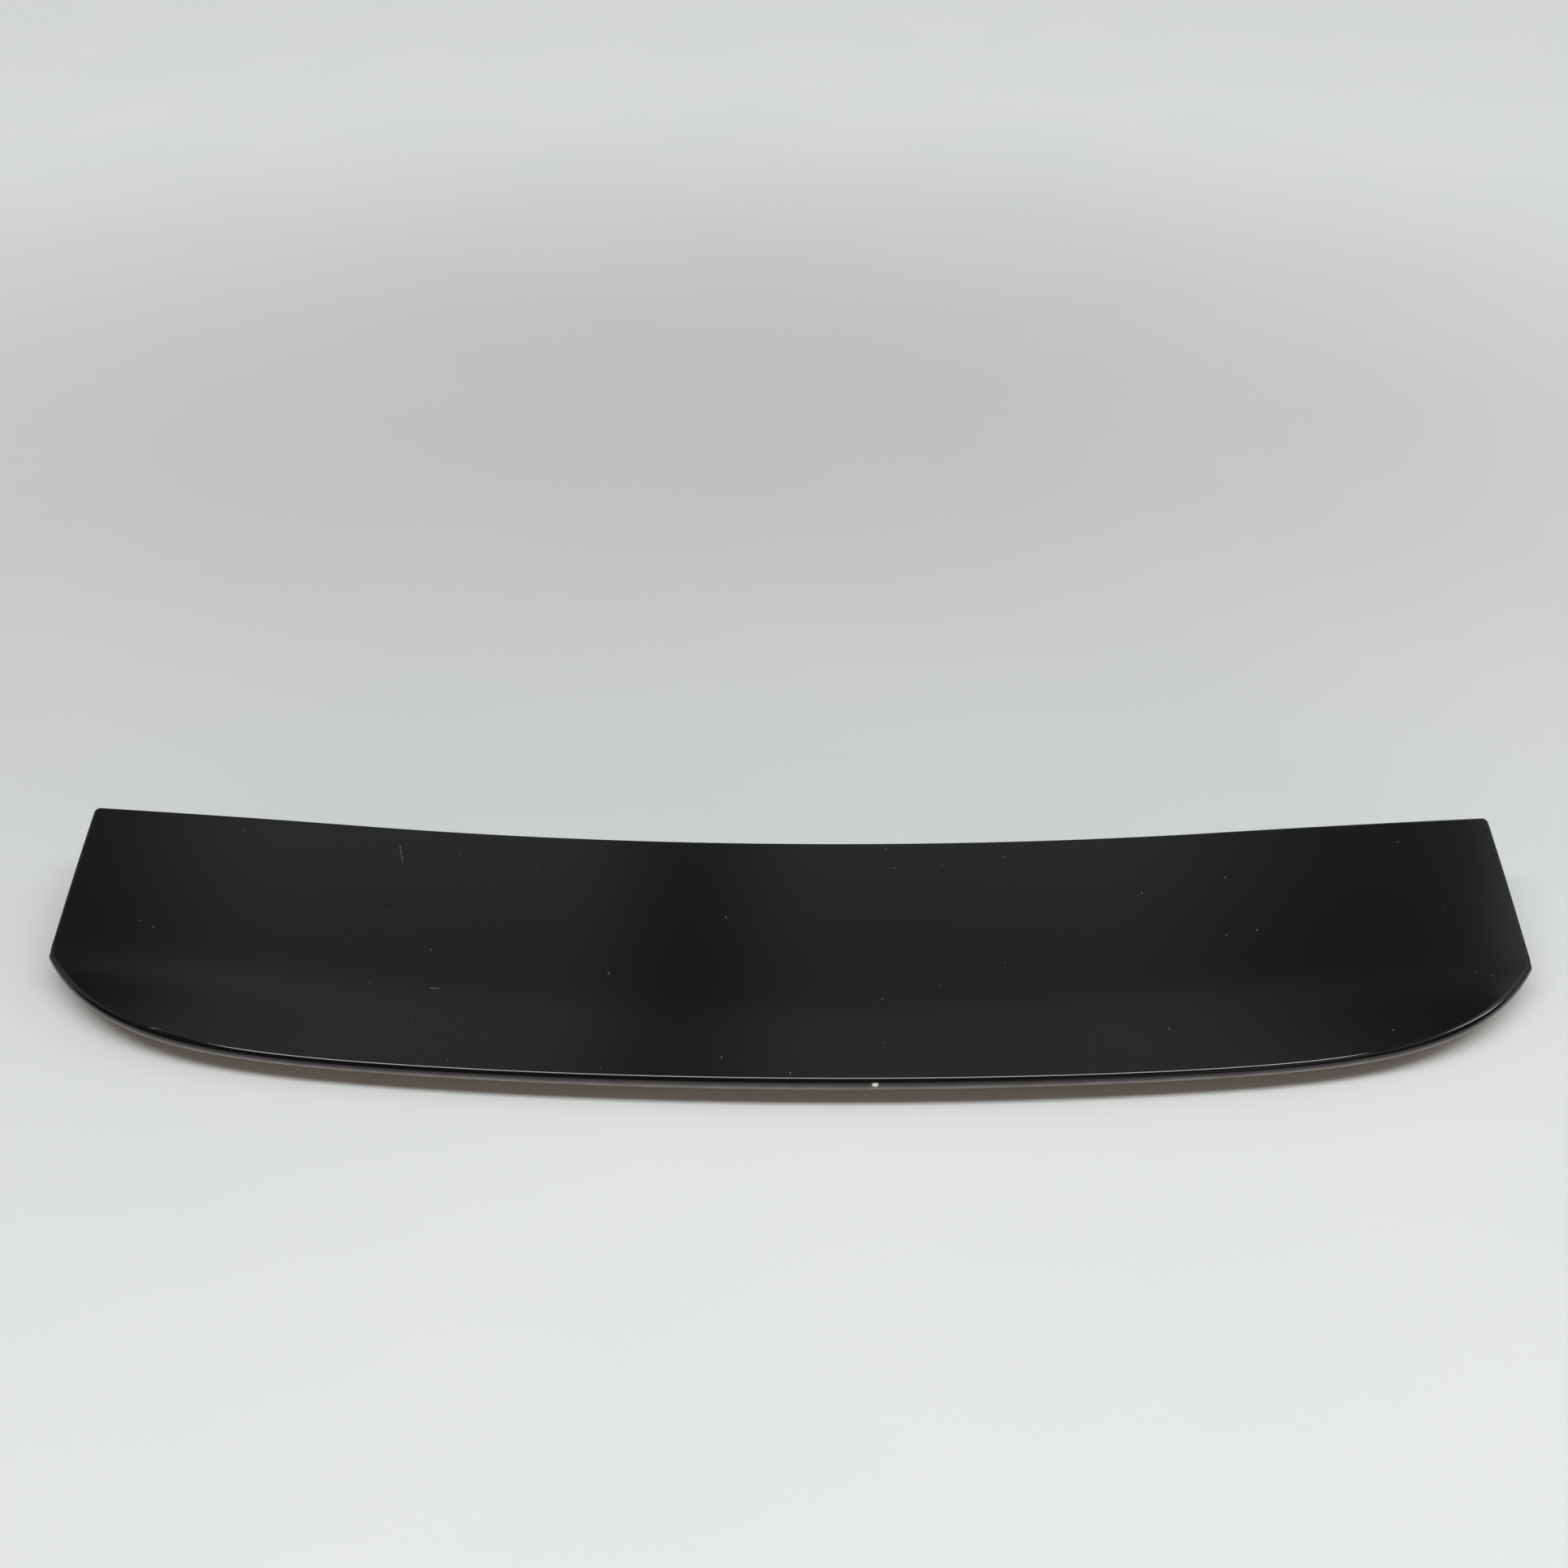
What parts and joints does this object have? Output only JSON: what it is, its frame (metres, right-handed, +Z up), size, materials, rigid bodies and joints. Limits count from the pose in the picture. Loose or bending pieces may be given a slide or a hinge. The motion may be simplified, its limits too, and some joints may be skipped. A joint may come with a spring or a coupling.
{
  "type": "tailgate spoiler",
  "caption": "Wide, shallow tailgate spoiler with a bowed leading edge, a soft tail kick and a rounded lip, on a hollow two-shell body with mounting studs underneath.",
  "frame": {"origin": "middle of the four-stud pattern, on the plane of the gaskets' lower faces, which seat on the car", "axes": "+X across the car, to the right with the trailing lip towards the viewer; +Y from the trailing lip towards the roof; +Z up, away from the car"},
  "size_m": [1.16, 0.2577, 0.0927],
  "materials": {
    "gloss_black_paint": "gloss black paint on moulded plastic, with fine scratches and dust",
    "grained_black_plastic": "fine-grained black moulded plastic",
    "zinc_steel": "bright zinc-plated steel",
    "spring_steel": "dark phosphated spring steel",
    "black_foam": "closed-cell black foam rubber"
  },
  "bodies": {
    "root": {"outer_skin": "gloss_black_paint", "inner_panel": "grained_black_plastic", "mounting_studs": "zinc_steel", "stud_gaskets": "black_foam", "retaining_clips": "spring_steel", "edge_seal": "black_foam", "end_pads": "black_foam"}
  },
  "joints": []
}
